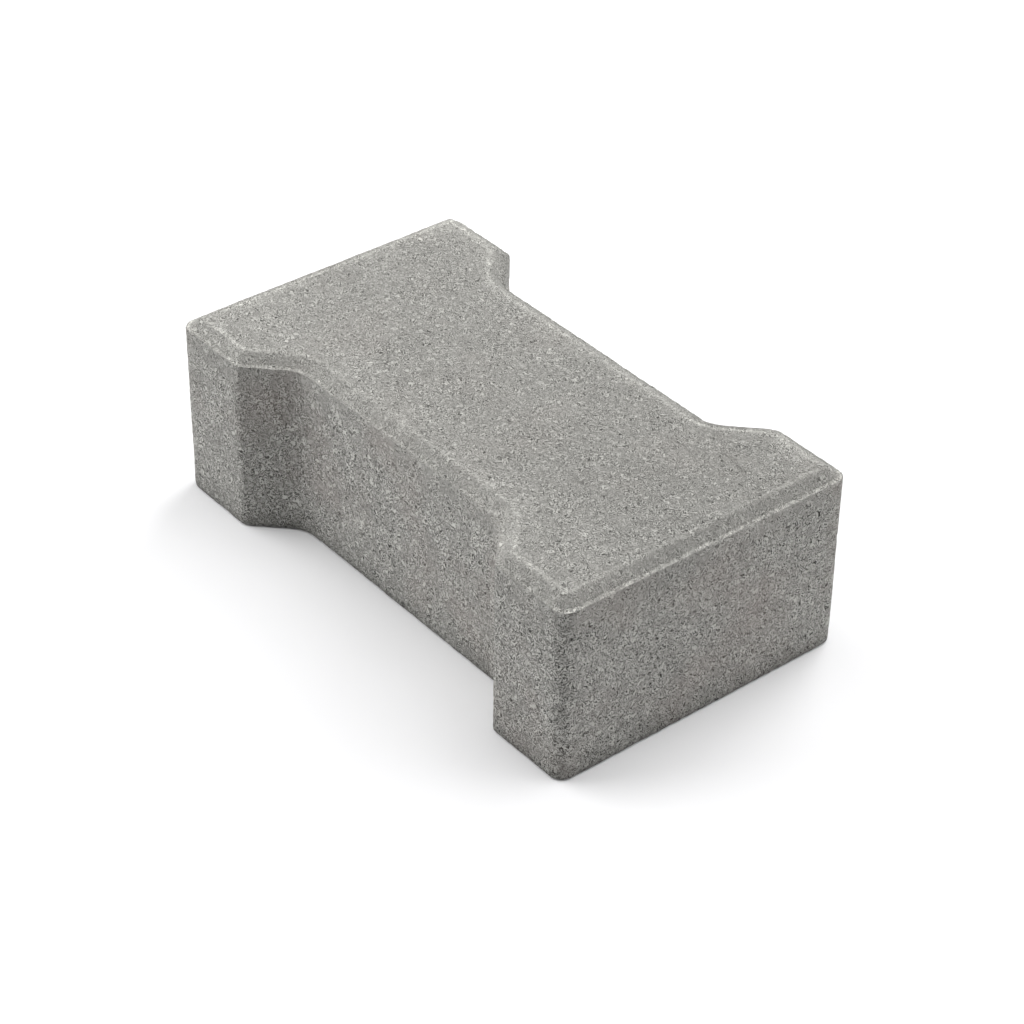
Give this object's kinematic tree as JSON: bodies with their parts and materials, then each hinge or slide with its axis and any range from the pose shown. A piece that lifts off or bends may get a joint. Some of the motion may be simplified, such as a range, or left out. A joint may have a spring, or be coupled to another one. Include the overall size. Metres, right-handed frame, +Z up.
{
  "type": "concrete paving stone",
  "caption": "Double-headed interlocking paving stone of cast concrete, with ears past a straight waist and a bevelled top edge.",
  "frame": {"origin": "middle of the underside", "axes": "+X along the stone's length, +Y across it, +Z up through the wearing face"},
  "size_m": [0.2, 0.115, 0.068],
  "materials": {
    "cast_concrete": "fine-grained dry-cast concrete, matt, with a speckle of sand and small pits"
  },
  "bodies": {
    "root": {"paving_stone": "cast_concrete"}
  },
  "joints": []
}
